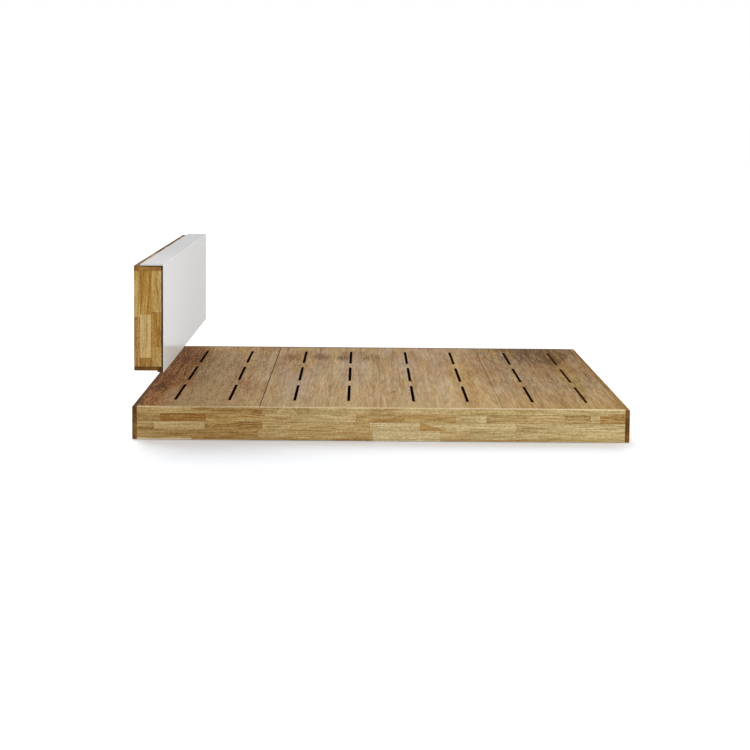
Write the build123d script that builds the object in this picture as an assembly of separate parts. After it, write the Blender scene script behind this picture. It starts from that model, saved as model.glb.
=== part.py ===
from build123d import *
import os

# A low oak platform bed, with a storage headboard that hangs on the wall behind it, in millimetres.
# +X runs from the head to the foot, +Y from the near side to the far side, and +Z up from the floor.
# The origin is on the floor, under the middle of the platform.

# Platform rails: the head and foot rails run full width, and the side rails butt between them
bed_length = 2160.0
bed_width = 1550.0
rail_height = 144.0
rail_thickness = 20.0
rail_ease = 1.5
glide_height = 3.0
glide_radius = 14.0

# Deck: loose slotted panels, dropped in flush with the tops of the rails
deck_thickness = 20.0
panel_count = 4
panel_seam = 1.0
deck_clearance = 1.0
panel_ease = 0.8
slots_per_row = 3
slot_length = 345.0
slot_width = 11.0
slot_bridge = 112.0
row_offset = 120.0

# Structure under the deck: corner blocks, ledgers along the rails, and bearers under the panel seams
corner_block_width = 48.0
ledger_thickness = 30.0
ledger_height = 40.0
ledger_end_gap = 20.0
bearer_width = 45.0
bearer_height = 60.0
lap_depth = 20.0
lap_clearance = 0.25
leg_width = 45.0
leg_ease = 3.0

# Fasteners of the platform
fastener_clearance = 0.05
bolts_per_corner = 4
bolt_radius = 4.0
bolt_head_radius = 6.5
bolt_head_height = 8.0
bolt_socket_width = 6.0
bolt_socket_depth = 4.0
bolt_hole_clearance = 0.5
insert_radius = 5.5
insert_depth = 13.0
leg_bolt_radius = 4.0
leg_bolt_reach = 30.0
screw_radius = 2.5
screw_head_radius = 5.0
screw_head_height = 3.0
screw_bite = 12.0
screws_per_end_ledger = 4

# Headboard case: boards over and under two end panels, edge strips glued along them, and a back panel
# in a groove. The rear strip stands up behind the hinges, the front one hangs below the bottom board.
wall_gap = 10.0
headboard_lift = 157.0
case_depth = 118.0
case_height = 452.0
case_board = 18.0
case_ease = 1.0
back_thickness = 6.0
groove_depth = 6.0
groove_clearance = 0.1
compartments = 3
divider_thickness = 18.0
divider_setback = 4.0
dowel_radius = 4.0
dowel_reach = 12.0
dowels_per_joint = 3
dowel_margin = 20.0
closing_strip_depth = 18.0
closing_strip_drop = 6.5

# French cleats behind the headboard: the upper one is on the back panel, the lower one on the wall
cleat_thickness = 15.0
hanging_cleat_length = 1300.0
hanging_cleat_height = 70.0
wall_cleat_length = 1100.0
wall_cleat_height = 80.0
cleat_drop = 30.0
stud_span = 812.8
cleat_hole_rise = 30.0
cleat_hole_radius = 3.0
wall_bumper_radius = 8.0

# Lid: two mitred panels over the top and the front of the case, on hinges behind its top edge
lid_thickness = 6.0
lid_round = 5.0
lid_ease = 1.0
lid_overhang = 7.0
hinge_strip_depth = 20.0
hinge_count = 3
hinge_spacing = 560.0
hinge_length = 75.0
knuckle_count = 5
knuckle_radius = 3.5
knuckle_clearance = 0.5
knuckle_end_gap = 0.2
pin_radius = 1.5
pin_clearance = 0.05
leaf_width = 28.0
leaf_thickness = 1.5
leaf_clearance = 1.0
bumper_radius = 5.0
bumper_inset = 20.0

# Levels and faces that the pieces share
rail_top = glide_height + rail_height
deck_bottom = rail_top - deck_thickness
rail_inner_x = bed_length / 2 - rail_thickness
rail_inner_y = bed_width / 2 - rail_thickness
block_inner_x = rail_inner_x - corner_block_width
block_inner_y = rail_inner_y - corner_block_width
ledger_bottom = deck_bottom - ledger_height
bearer_bottom = deck_bottom - bearer_height

deck_half_x = rail_inner_x - deck_clearance
deck_half_y = rail_inner_y - deck_clearance
panel_pitch = (2 * deck_half_x + panel_seam) / panel_count
panel_starts = [index * panel_pitch - deck_half_x for index in range(panel_count)]
panel_middles = [start + (panel_pitch - panel_seam) / 2 for start in panel_starts]
seams = [start - panel_seam / 2 for start in panel_starts[1:]]

wall_x = -bed_length / 2
case_half_y = bed_width / 2
case_back = wall_x + wall_gap
case_front = case_back + case_depth
case_bottom = rail_top + headboard_lift
case_top = case_bottom + case_height
inside_bottom = case_bottom + case_board
inside_top = case_top - case_board
inside_half_y = case_half_y - case_board
top_board_back = case_back + hinge_strip_depth
bottom_board_front = case_front - closing_strip_depth
back_panel_back = wall_x + cleat_thickness
back_panel_front = back_panel_back + back_thickness

lid_gap = 2 * leaf_thickness + leaf_clearance
lid_under = case_top + lid_gap
lid_top = lid_under + lid_thickness
lid_inner_x = case_front + lid_gap
lid_outer_x = lid_inner_x + lid_thickness
hinge_gap = 2 * (knuckle_radius + knuckle_clearance)
hinge_x = top_board_back + hinge_gap / 2
hinge_z = case_top + hinge_gap / 2
lid_rear_x = hinge_x + hinge_gap / 2
hinge_middles = [hinge_spacing * (index - (hinge_count - 1) / 2) for index in range(hinge_count)]

pieces = {}


def block(x_span, y_span, z_span):
    """A box between a low and a high limit along each axis."""
    spans = [sorted(span) for span in (x_span, y_span, z_span)]
    size = [high - low for low, high in spans]
    centre = [(low + high) / 2 for low, high in spans]
    return Pos(*centre) * Box(*size)


def around(centre, width):
    """The span of a width about its centre."""
    return (centre - width / 2, centre + width / 2)


def rod(start, direction, radius, length):
    """A round bar from a point, along a direction."""
    return Plane(origin=start, z_dir=direction) * Pos(0, 0, length / 2) * Cylinder(radius, length)


def spread(count, half_span):
    """Evenly spaced places about zero, each in the middle of an equal share of the span."""
    share = 2 * half_span / count
    return [share * (index + 0.5) - half_span for index in range(count)]


def across_width(outline, half_length):
    """A profile of (x, z) points, drawn out along Y about the middle."""
    points = [(x, -half_length, z) for x, z in outline]
    return extrude(make_face(Polyline(*points, close=True)), amount=2 * half_length, dir=(0, 1, 0))


def cap_bolt():
    """A socket-head bolt along -Z, with the underside of its head at the origin."""
    head = Pos(0, 0, bolt_head_height / 2) * Cylinder(bolt_head_radius, bolt_head_height)
    length = corner_block_width + insert_depth
    shank = Pos(0, 0, -length / 2) * Cylinder(bolt_radius, length)
    hexagon = RegularPolygon(bolt_socket_width / 2, 6, major_radius=False)
    socket = Pos(0, 0, bolt_head_height - bolt_socket_depth) * extrude(hexagon, amount=bolt_socket_depth)
    return head + shank - socket


def wood_screw(grow=0.0):
    """A countersunk screw along -Z, with the face of its head at the origin."""
    length = ledger_thickness + screw_bite + grow
    head = Cone(screw_radius + grow, screw_head_radius + grow, screw_head_height)
    shank = Pos(0, 0, -length / 2) * Cylinder(screw_radius + grow, length)
    return Pos(0, 0, -screw_head_height / 2) * head + shank


# Places of the corner bolts: the seat of each head, and the way that the head points
corner_bolts = []
for end in (-1, 1):
    for side in (-1, 1):
        for index in range(bolts_per_corner):
            height = glide_height + (deck_bottom - glide_height) * (index + 0.5) / bolts_per_corner
            if index % 2 == 0:
                seat = (end * (rail_inner_x - corner_block_width / 2), side * block_inner_y, height)
                outward = (0, -side, 0)
            else:
                seat = (end * block_inner_x, side * (rail_inner_y - corner_block_width / 2), height)
                outward = (-end, 0, 0)
            corner_bolts.append((seat, outward))

# Places of the ledger screws: the face of each head, and the way that it points
ledger_screws = []
screw_height = deck_bottom - ledger_height / 2
for side in (-1, 1):
    for middle in panel_middles:
        ledger_screws.append(((middle, side * (rail_inner_y - ledger_thickness), screw_height), (0, -side, 0)))
for end in (-1, 1):
    for place in spread(screws_per_end_ledger, block_inner_y - ledger_end_gap):
        ledger_screws.append(((end * (rail_inner_x - ledger_thickness), place, screw_height), (-end, 0, 0)))

bolts = [Plane(origin=seat, z_dir=outward) * cap_bolt() for seat, outward in corner_bolts]
screws = [Plane(origin=seat, z_dir=outward) * wood_screw() for seat, outward in ledger_screws]
screw_holes = [Plane(origin=seat, z_dir=outward) * wood_screw(fastener_clearance)
               for seat, outward in ledger_screws]


def past_block(seat, outward):
    """The point where a corner bolt leaves its block and enters the rail, and its way in."""
    inward = tuple(-part for part in outward)
    return tuple(place + corner_block_width * part for place, part in zip(seat, inward)), inward


insert_holes = []
inserts = []
block_holes = []
for seat, outward in corner_bolts:
    rail_point, inward = past_block(seat, outward)
    insert_holes.append(rod(rail_point, inward, insert_radius + fastener_clearance, insert_depth))
    sleeve = rod(rail_point, inward, insert_radius, insert_depth)
    inserts.append(sleeve - rod(rail_point, inward, bolt_radius + fastener_clearance, insert_depth))
    block_holes.append(rod(seat, inward, bolt_radius + bolt_hole_clearance, corner_block_width))


def side_rail(side):
    """A long rail between the head and foot rails, with its long edges eased."""
    faces = (side * rail_inner_y, side * bed_width / 2)
    rail = block((-rail_inner_x, rail_inner_x), faces, (glide_height, rail_top))
    return fillet(rail.edges().filter_by(Axis.X), rail_ease) - insert_holes - screw_holes


def end_rail(end):
    """The head or foot rail, full width, with its end grain showing at both sides."""
    faces = (end * rail_inner_x, end * bed_length / 2)
    rail = block(faces, (-bed_width / 2, bed_width / 2), (glide_height, rail_top))
    return fillet(rail.edges(), rail_ease) - insert_holes - screw_holes


pieces["side_rail_near"] = side_rail(-1)
pieces["side_rail_far"] = side_rail(1)
pieces["head_rail"] = end_rail(-1)
pieces["foot_rail"] = end_rail(1)


def deck_panel(start, middle):
    """One deck panel, with two rows of routed slots on either side of its middle."""
    span = (start, start + panel_pitch - panel_seam)
    panel = block(span, (-deck_half_y, deck_half_y), (deck_bottom, rail_top))
    panel = chamfer(panel.faces().sort_by(Axis.Z)[-1].edges(), panel_ease)
    slot_pitch = slot_length + slot_bridge
    places = [slot_pitch * (index - (slots_per_row - 1) / 2) for index in range(slots_per_row)]
    slot = extrude(SlotOverall(slot_length, slot_width, rotation=90), amount=deck_thickness)
    slots = [Pos(middle + row, place, deck_bottom) * slot
             for row in (-row_offset, row_offset) for place in places]
    return panel - slots


for number, (start, middle) in enumerate(zip(panel_starts, panel_middles), 1):
    pieces[f"deck_panel_{number}"] = deck_panel(start, middle)


def side_ledger(side):
    """A ledger along a side rail, notched from above for the ends of the bearers."""
    ends = block_inner_x - ledger_end_gap
    faces = (side * (rail_inner_y - ledger_thickness), side * rail_inner_y)
    ledger = block((-ends, ends), faces, (ledger_bottom, deck_bottom))
    notches = [block(around(seam, bearer_width + 2 * lap_clearance), faces,
                     (deck_bottom - lap_depth, deck_bottom)) for seam in seams]
    return ledger - notches - screw_holes


def end_ledger(end):
    """A ledger along the head or foot rail."""
    ends = block_inner_y - ledger_end_gap
    faces = (end * (rail_inner_x - ledger_thickness), end * rail_inner_x)
    return block(faces, (-ends, ends), (ledger_bottom, deck_bottom)) - screw_holes


pieces["side_ledger_near"] = side_ledger(-1)
pieces["side_ledger_far"] = side_ledger(1)
pieces["head_ledger"] = end_ledger(-1)
pieces["foot_ledger"] = end_ledger(1)


def corner_block(end, side):
    """A square block in one corner, drilled both ways for the bolts."""
    shape = block((end * block_inner_x, end * rail_inner_x), (side * block_inner_y, side * rail_inner_y),
                  (glide_height, deck_bottom))
    return shape - block_holes


for end, end_name in ((-1, "head"), (1, "foot")):
    for side, side_name in ((-1, "near"), (1, "far")):
        pieces[f"corner_block_{end_name}_{side_name}"] = corner_block(end, side)


def leg_bolt(seam, grow=0.0):
    """A plain hanger bolt, upright between a leg and its bearer."""
    reach = leg_bolt_reach + grow
    return rod((seam, 0, bearer_bottom - reach), (0, 0, 1), leg_bolt_radius + grow, 2 * reach)


def cross_bearer(seam):
    """A bearer under a panel seam, whose ends are lapped over the side ledgers."""
    span = around(seam, bearer_width)
    body_end = rail_inner_y - ledger_thickness - lap_clearance
    tongue_end = rail_inner_y - lap_clearance
    body = block(span, (-body_end, body_end), (bearer_bottom, deck_bottom))
    tongue = block(span, (-tongue_end, tongue_end), (deck_bottom - lap_depth, deck_bottom))
    return body + tongue - leg_bolt(seam, fastener_clearance)


def centre_leg(seam):
    """A short leg under the middle of a bearer."""
    leg = block(around(seam, leg_width), around(0, leg_width), (glide_height, bearer_bottom))
    return fillet(leg.edges().filter_by(Axis.Z), leg_ease) - leg_bolt(seam, fastener_clearance)


for number, seam in enumerate(seams, 1):
    pieces[f"cross_bearer_{number}"] = cross_bearer(seam)
    pieces[f"centre_leg_{number}"] = centre_leg(seam)

glide_places = [(seam, 0) for seam in seams]
for end in (-1, 1):
    for side in (-1, 1):
        glide_places.append((end * (rail_inner_x - corner_block_width / 2),
                             side * (rail_inner_y - corner_block_width / 2)))
glides = [rod((x, y, 0), (0, 0, 1), glide_radius, glide_height) for x, y in glide_places]

pieces["corner_bolts"] = Compound(children=bolts)
pieces["threaded_inserts"] = Compound(children=inserts)
pieces["ledger_screws"] = Compound(children=screws)
pieces["leg_bolts"] = Compound(children=[leg_bolt(seam) for seam in seams])
pieces["floor_glides"] = Compound(children=glides)


def back_panel(grow=0.0):
    """The back of the case, let into a groove all round. Grown, it is the groove's cutter."""
    half_y = inside_half_y + groove_depth - groove_clearance + grow
    low = inside_bottom - groove_depth + groove_clearance - grow
    high = inside_top + groove_depth - groove_clearance + grow
    return block((back_panel_back - grow, back_panel_front + grow), (-half_y, half_y), (low, high))


divider_places = [inside_half_y * (2 * index / compartments - 1) for index in range(1, compartments)]


def divider(place, grow=0.0):
    """An upright divider, housed in the top and bottom boards. Grown, it cuts its own housings."""
    span = (back_panel_front + groove_clearance, bottom_board_front - divider_setback + grow)
    low = inside_bottom - groove_depth + groove_clearance - grow
    high = inside_top + groove_depth - groove_clearance + grow
    return block(span, around(place, divider_thickness + 2 * grow), (low, high))


def case_dowels(grow=0.0):
    """Upright dowels that pin the end panels to the top and bottom boards."""
    first = back_panel_front + dowel_margin
    last = bottom_board_front - dowel_margin
    step = (last - first) / (dowels_per_joint - 1)
    reach = dowel_reach + grow
    dowels = []
    for side in (-1, 1):
        for joint in (inside_bottom, inside_top):
            for index in range(dowels_per_joint):
                foot = (first + step * index, side * (case_half_y - case_board / 2), joint - reach)
                dowels.append(rod(foot, (0, 0, 1), dowel_radius + grow, 2 * reach))
    return dowels


case_cuts = [back_panel(groove_clearance)] + case_dowels(fastener_clearance)
case_cuts += [divider(place, groove_clearance) for place in divider_places]


def case_length(x_span, z_span, eased_level):
    """A board or strip along the whole case, with its two upper or lower long edges eased."""
    board = block(x_span, (-case_half_y, case_half_y), z_span)
    long_edges = board.edges().filter_by(Axis.Y).group_by(Axis.Z)[eased_level]
    return fillet(long_edges, case_ease) - case_cuts


def case_end_panel(side):
    """An end of the case, between the top and bottom boards, with its outer upright edges eased."""
    panel = block((case_back, case_front), (side * inside_half_y, side * case_half_y),
                  (inside_bottom, inside_top))
    uprights = panel.edges().filter_by(Axis.Z).sort_by(lambda edge: side * edge.center().Y)[-2:]
    return fillet(uprights, case_ease) - case_cuts


top_edges, bottom_edges = -1, 0
pieces["headboard_top_board"] = case_length((top_board_back, case_front), (inside_top, case_top), top_edges)
pieces["hinge_strip"] = case_length((case_back, top_board_back), (inside_top, hinge_z), top_edges)
pieces["headboard_bottom_board"] = case_length((case_back, bottom_board_front), (case_bottom, inside_bottom),
                                               bottom_edges)
pieces["closing_strip"] = case_length((bottom_board_front, case_front),
                                      (case_bottom - closing_strip_drop, inside_bottom), bottom_edges)
pieces["headboard_end_panel_near"] = case_end_panel(-1)
pieces["headboard_end_panel_far"] = case_end_panel(1)
pieces["headboard_back_panel"] = back_panel()
pieces["headboard_dowels"] = Compound(children=case_dowels())
for number, place in enumerate(divider_places, 1):
    pieces[f"headboard_divider_{number}"] = divider(place)


# The cleats meet on a slope that falls towards the wall, so that the headboard hooks on
hook_top = inside_top - cleat_drop - hanging_cleat_height + cleat_thickness
hook_foot = hook_top - cleat_thickness
hanging_top = inside_top - cleat_drop
wall_cleat_bottom = hook_top - wall_cleat_height
hanging_outline = [(wall_x, hook_foot), (back_panel_back, hook_top),
                   (back_panel_back, hanging_top), (wall_x, hanging_top)]
wall_outline = [(wall_x, wall_cleat_bottom), (back_panel_back, wall_cleat_bottom),
                (back_panel_back, hook_top), (wall_x, hook_foot)]
hole_middle = (wall_cleat_bottom + hook_foot) / 2
cleat_holes = [rod((wall_x, y, z), (1, 0, 0), cleat_hole_radius, cleat_thickness)
               for y in around(0, stud_span) for z in around(hole_middle, cleat_hole_rise)]
pieces["hanging_cleat"] = across_width(hanging_outline, hanging_cleat_length / 2)
pieces["wall_cleat"] = across_width(wall_outline, wall_cleat_length / 2) - cleat_holes
bumper_places = spread(hinge_count, case_half_y)
pieces["wall_bumpers"] = Compound(children=[
    rod((wall_x, y, case_bottom + case_board / 2), (1, 0, 0), wall_bumper_radius, wall_gap)
    for y in bumper_places])

# The lid is drawn as one angle, with its outer corner rounded, and parted along the mitre
lid_bottom = case_bottom - lid_overhang
lid_outline = [(lid_rear_x, lid_under), (lid_rear_x, lid_top), (lid_outer_x, lid_top),
               (lid_outer_x, lid_bottom), (lid_inner_x, lid_bottom), (lid_inner_x, lid_under)]
lid = across_width(lid_outline, case_half_y)
lid = fillet(lid.edges().filter_by(Axis.Y).sort_by(lambda edge: edge.center().X + edge.center().Z)[-1],
             lid_round)
lid = fillet(lid.edges().filter_by(Axis.Y).group_by(Axis.Z)[0], lid_ease)
mitre = Plane(origin=(lid_inner_x, 0, lid_under), z_dir=(1, 0, -1))
pieces["lid_front_panel"] = split(lid, bisect_by=mitre, keep=Keep.TOP)
pieces["lid_top_panel"] = split(lid, bisect_by=mitre, keep=Keep.BOTTOM)


def knuckles(middle, first):
    """Every second knuckle of a hinge, from the first, as spans along Y."""
    pitch = hinge_length / knuckle_count
    start = middle - hinge_length / 2
    return [(start + pitch * index + knuckle_end_gap / 2, start + pitch * (index + 1) - knuckle_end_gap / 2)
            for index in range(first, knuckle_count, 2)]


def hinge_leaf(middle, first, foot):
    """A leaf: its plate in front of the pin, with a web back to each of its knuckles and a bore through them."""
    thickness = (foot, foot + leaf_thickness)
    leaf = block((lid_rear_x, hinge_x + leaf_width), around(middle, hinge_length), thickness)
    for span in knuckles(middle, first):
        leaf += block((hinge_x, lid_rear_x), span, thickness)
        leaf += rod((hinge_x, span[0], hinge_z), (0, 1, 0), knuckle_radius, span[1] - span[0])
    bore = rod((hinge_x, middle - hinge_length / 2, hinge_z), (0, 1, 0), pin_radius + pin_clearance, hinge_length)
    return leaf - bore


case_leaves = [hinge_leaf(middle, 0, case_top) for middle in hinge_middles]
lid_leaves = [hinge_leaf(middle, 1, lid_under - leaf_thickness) for middle in hinge_middles]
pieces["hinge_case_leaves"] = Compound(children=case_leaves)
pieces["hinge_lid_leaves"] = Compound(children=lid_leaves)
pieces["hinge_pins"] = Compound(children=[
    rod((hinge_x, middle - hinge_length / 2, hinge_z), (0, 1, 0), pin_radius, hinge_length)
    for middle in hinge_middles])

# Bumpers that the closed lid rests on, at the front of the top board and on the bottom board's edge
top_bumpers = [rod((case_front - bumper_inset, y, case_top), (0, 0, 1), bumper_radius, lid_gap)
               for y in bumper_places]
front_bumpers = [rod((case_front, y, case_bottom + case_board / 2), (1, 0, 0), bumper_radius, lid_gap)
                 for y in bumper_places]
pieces["lid_bumpers"] = Compound(children=top_bumpers + front_bumpers)

os.makedirs("parts", exist_ok=True)
for name, shape in pieces.items():
    export_step(shape, f"parts/{name}.step")
print(len(pieces), "pieces; lid hinge at x", hinge_x, "z", hinge_z)
print("deck top", rail_top, "case", case_back, case_front, case_bottom, case_top, "lid", lid_outer_x, lid_top)
print("panel middles", panel_middles, "seams", seams)
print("wall cleat holes about z", hole_middle, "dividers", divider_places)
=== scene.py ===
# %% [markdown]
# # An oak platform bed with a white storage headboard
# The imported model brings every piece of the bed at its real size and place, in metres, as the frame that
# this lesson dresses. Boards that show their glued staves are modelled again with the same outline, the
# white lid is modelled as one folded skin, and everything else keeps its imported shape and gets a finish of
# its own.

# %% Load the frame
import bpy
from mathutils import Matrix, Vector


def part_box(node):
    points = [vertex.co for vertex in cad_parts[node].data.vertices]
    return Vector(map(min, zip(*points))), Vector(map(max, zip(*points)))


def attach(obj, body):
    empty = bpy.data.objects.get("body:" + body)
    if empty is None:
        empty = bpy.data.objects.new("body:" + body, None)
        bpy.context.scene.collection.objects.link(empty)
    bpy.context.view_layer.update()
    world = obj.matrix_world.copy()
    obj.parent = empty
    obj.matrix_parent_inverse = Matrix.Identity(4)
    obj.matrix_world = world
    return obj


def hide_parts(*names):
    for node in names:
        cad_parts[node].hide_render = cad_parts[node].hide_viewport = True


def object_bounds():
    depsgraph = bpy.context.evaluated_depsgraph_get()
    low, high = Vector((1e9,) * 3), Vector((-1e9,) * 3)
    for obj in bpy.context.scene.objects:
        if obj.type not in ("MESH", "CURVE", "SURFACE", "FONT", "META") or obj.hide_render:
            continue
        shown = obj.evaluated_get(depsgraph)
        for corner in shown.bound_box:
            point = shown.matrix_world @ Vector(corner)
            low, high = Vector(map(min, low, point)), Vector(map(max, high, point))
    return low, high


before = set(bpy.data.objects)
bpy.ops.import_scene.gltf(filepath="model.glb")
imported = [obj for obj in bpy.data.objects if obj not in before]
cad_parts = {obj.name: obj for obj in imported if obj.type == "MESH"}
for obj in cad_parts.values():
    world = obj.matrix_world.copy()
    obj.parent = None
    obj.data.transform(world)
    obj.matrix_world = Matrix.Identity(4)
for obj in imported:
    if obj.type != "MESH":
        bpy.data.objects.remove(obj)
cad_low, cad_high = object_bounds()
print("frame:", len(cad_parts), "nodes, from", cad_low[:], "to", cad_high[:])

# %% Tools for the rest of the lesson
import math
import random

import bmesh
import bpy
from mathutils import Matrix, Vector

mm = 0.001
print("Blender", bpy.app.version_string)

# %% [markdown]
# ## The camera
# The photograph is taken square on to the long side, from a little above, with a long lens. The lens, the
# place and the three turns below were fitted to corners that show in the photograph. A view that is aimed
# nearly level and shifted keeps the upright edges upright, so the frame is shifted down and the camera
# barely looks down.

# %% Place the camera
image_side = 750
lens_in_pixels = 1321.05
sensor_width_mm = 36.0
camera_place = Vector((-0.0912, -6.4213, 1.3840))
camera_yaw = math.radians(0.5579)
camera_pitch_down = math.radians(4.4586)
camera_roll = math.radians(0.5596)
camera_shift = -0.2

forward = Vector((math.sin(camera_yaw) * math.cos(camera_pitch_down),
                  math.cos(camera_yaw) * math.cos(camera_pitch_down),
                  -math.sin(camera_pitch_down)))
level = Vector((math.cos(camera_yaw), -math.sin(camera_yaw), 0.0))
upright = level.cross(forward)
right = level * math.cos(camera_roll) + upright * math.sin(camera_roll)
up = upright * math.cos(camera_roll) - level * math.sin(camera_roll)
turns = Matrix((right, up, -forward)).transposed().to_4x4()

camera_data = bpy.data.cameras.new("camera")
camera_data.sensor_width = sensor_width_mm
camera_data.lens = lens_in_pixels / image_side * sensor_width_mm
camera_data.shift_y = camera_shift
camera = bpy.data.objects.new("camera", camera_data)
camera.matrix_world = Matrix.Translation(camera_place) @ turns
bpy.context.scene.collection.objects.link(camera)
bpy.context.scene.camera = camera
bpy.context.scene.view_settings.view_transform = "Standard"
print("camera: lens", round(camera_data.lens, 2), "mm, at", camera_place[:])

# %% [markdown]
# ## Wiring helpers
# Materials here are built from nodes in code. A few small helpers keep that readable: one adds a node and
# fills its inputs with values or with links, some do sums on numbers and vectors, and the last ones stretch
# values, lay a colour over another and turn display colours into the linear ones that nodes take.

# %% Helpers: nodes and sums
def fill(tree, socket, value):
    """Links a socket to an output, or sets its value."""
    if isinstance(value, bpy.types.NodeSocket):
        tree.links.new(value, socket)
    else:
        socket.default_value = value


def place(tree, kind, inputs=None, **options):
    """Adds a node with its options, and fills the inputs that are named or numbered."""
    node = tree.nodes.new(kind)
    for option, value in options.items():
        setattr(node, option, value)
    for name, value in (inputs or {}).items():
        fill(tree, node.inputs[name], value)
    return node


def reckon(tree, operation, *values):
    """The result of a sum on numbers or outputs."""
    return place(tree, "ShaderNodeMath", dict(enumerate(values)), operation=operation).outputs[0]


def add_share(tree, base, value, share):
    """A base with a share of another value added."""
    return reckon(tree, "MULTIPLY_ADD", value, share, base)


def reckon_vector(tree, operation, *values):
    """The result of a sum on vectors."""
    return place(tree, "ShaderNodeVectorMath", dict(enumerate(values)), operation=operation).outputs[0]


def length(tree, vector):
    """The length of a vector."""
    return place(tree, "ShaderNodeVectorMath", {0: vector}, operation="LENGTH").outputs["Value"]


def split(tree, vector):
    """The three numbers of a vector."""
    return place(tree, "ShaderNodeSeparateXYZ", {0: vector}).outputs


def join(tree, *numbers):
    """A vector from three numbers."""
    return place(tree, "ShaderNodeCombineXYZ", dict(enumerate(numbers))).outputs[0]


print("helpers for nodes and sums are ready")

# %% Helpers: ranges, colours and places
def spread_out(tree, value, low, high):
    """A value stretched smoothly from low..high to 0..1."""
    inputs = {"Value": value, "From Min": low, "From Max": high}
    return place(tree, "ShaderNodeMapRange", inputs, interpolation_type="SMOOTHSTEP").outputs["Result"]


def swing(tree, value, reach):
    """A value about 0.5, as a swing about zero with a reach to each side."""
    return reckon(tree, "MULTIPLY", reckon(tree, "SUBTRACT", value, 0.5), 2.0 * reach)


def stirred(tree, tone, effects, reaches):
    """A tone that several effects move up and down, each with its own reach."""
    for name, reach in reaches.items():
        tone = reckon(tree, "ADD", tone, swing(tree, effects[name], reach))
    return tone


def lay_over(tree, amount, under, over):
    """One colour laid over another."""
    inputs = {0: amount, 6: under, 7: over}
    return place(tree, "ShaderNodeMix", inputs, data_type="RGBA").outputs[2]


def colour(red, green, blue):
    """A colour written as 0 to 255 display values, as the linear values that nodes take."""
    shares = (red / 255, green / 255, blue / 255)
    linear = [share / 12.92 if share <= 0.04 else ((share + 0.055) / 1.055) ** 2.4 for share in shares]
    return (*linear, 1.0)


def on_object(tree):
    """The place on the object, in metres."""
    return place(tree, "ShaderNodeTexCoord").outputs["Object"]


print("helpers for ranges, colours and places are ready")

# %% [markdown]
# ## Light and floor
# The bed was photographed on white, with a big soft light low on the right and a wide one behind on the
# left, which lays a short shadow along the front. They light it at a plain level, at which a colour comes
# out about as it is written: a level of 1 lights a facing surface as a full white sky does. The white round
# the bed is only what camera and mirror rays see: the world is plain white to them, and the floor glows a
# little outside the bed's outline, but keeps its soft shadow. Under the bed the floor's colour is a painted
# shade, dark grey. Mirror rays don't see the near light itself, because the raised lid would mirror it and
# burn out to white.

# %% White surroundings
white = (1.0, 1.0, 1.0, 1.0)
sky_level = 0.34
backdrop_level = 1.0


def seen_directly(tree):
    """1 for rays from the camera, mirrors and glass, and 0 for the light that falls on things."""
    rays = place(tree, "ShaderNodeLightPath").outputs
    direct = reckon(tree, "MAXIMUM", rays["Is Camera Ray"], rays["Is Glossy Ray"])
    return reckon(tree, "MAXIMUM", direct, rays["Is Transmission Ray"])


world = bpy.data.worlds.new("studio")
world.use_nodes = True
studio = world.node_tree
studio.nodes.clear()
sky = place(studio, "ShaderNodeBackground", {"Color": white, "Strength": sky_level})
backdrop = place(studio, "ShaderNodeBackground", {"Color": white, "Strength": backdrop_level})
both = place(studio, "ShaderNodeMixShader",
             {0: seen_directly(studio), 1: sky.outputs[0], 2: backdrop.outputs[0]})
place(studio, "ShaderNodeOutputWorld", {"Surface": both.outputs[0]})
bpy.context.scene.world = world
print("world: sky", sky_level, "as light, backdrop", backdrop_level, "to the camera")

# %% Hang the lamps
behind_level = 0.60
behind_source = Vector((-0.45, 0.6, 0.62))
behind_width = math.radians(50)
key_level = 0.70
key_place = Vector((6.4, -6.2, 1.65))
key_aim = Vector((0.0, -0.8, 0.1))
key_size = 2.8


def hang_lamp(name, kind, source, energy):
    """Puts a lamp in the scene that shines from a direction."""
    light = bpy.data.lights.new(name, kind)
    light.energy = energy
    lamp = bpy.data.objects.new(name, light)
    lamp.rotation_mode = "QUATERNION"
    lamp.rotation_quaternion = source.to_track_quat("Z", "Y")
    bpy.context.scene.collection.objects.link(lamp)
    return lamp


behind_lamp = hang_lamp("behind_sun", "SUN", behind_source, behind_level * math.pi)
behind_lamp.data.angle = behind_width
key_line = key_place - key_aim
key_lamp = hang_lamp("softbox", "AREA", key_line, key_level * (math.pi * key_line.length) ** 2)
key_lamp.data.size = key_size
key_lamp.location = key_place
key_lamp.visible_glossy = False
print("lamps: key", key_level, "behind", behind_level)

# %% Lay the floor
floor_size = 80.0
floor_white = colour(245, 248, 251)
# Under the bed the paper's colour is a painted shade, dark grey.
floor_painted_shade = colour(120, 120, 120)
floor_glow = 0.22
more_glow_sides = 0.16
more_glow_ends = 0.40
far_off_sides = 0.7
far_off_ends = 0.10
glow_under_rail = 18 * mm


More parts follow.
